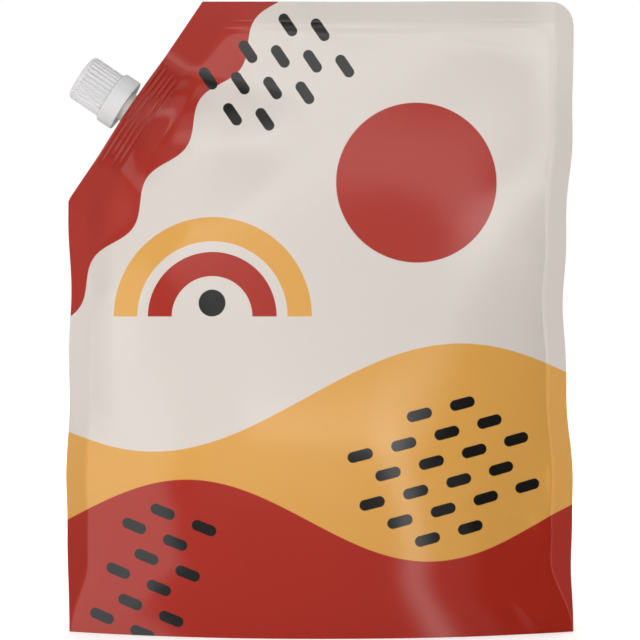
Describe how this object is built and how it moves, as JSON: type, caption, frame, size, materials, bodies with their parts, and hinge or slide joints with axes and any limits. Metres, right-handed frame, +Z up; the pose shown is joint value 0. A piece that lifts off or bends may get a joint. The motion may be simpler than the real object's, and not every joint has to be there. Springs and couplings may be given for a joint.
{
  "type": "hand soap refill pack",
  "caption": "Stand-up film pouch of liquid hand soap with a slanted corner, a welded pouring spout there and a ribbed white screw cap over a tamper-evident ring.",
  "frame": {"origin": "on the surface that the pouch stands on, under the middle of the pouch", "axes": "+Z up, -Y out of the front panel, -X towards the slanted corner with the spout"},
  "size_m": [0.19, 0.055, 0.236],
  "materials": {
    "laminate_film": "satin printed laminate film in cream with amber, brick red and near-black shapes",
    "natural_polyethylene": "moulded natural polyethylene",
    "white_polypropylene": "moulded white polypropylene, satin",
    "liner_foam": "soft foamed liner disc"
  },
  "bodies": {
    "pack": {"pouch": "laminate_film", "spout": "natural_polyethylene", "tamper_ring": "white_polypropylene"},
    "liner": {"sealing_liner": "liner_foam"},
    "cap": {"screw_cap": "white_polypropylene"}
  },
  "joints": [
    {"name": "cap_lift", "type": "slide", "parent": "pack", "child": "liner", "axis": [-0.8287, 0, 0.5598], "range_m": [0, 0.00605]},
    {"name": "cap_turn", "type": "hinge", "parent": "liner", "child": "cap", "pos_m": [-0.07121, 0, 0.19572], "axis": [-0.8287, 0, 0.5598], "range_deg": [0, 720]}
  ],
  "couplings": [
    {"joint": "cap_lift", "follows": "cap_turn", "m_per_rad": 0.00047746}
  ]
}
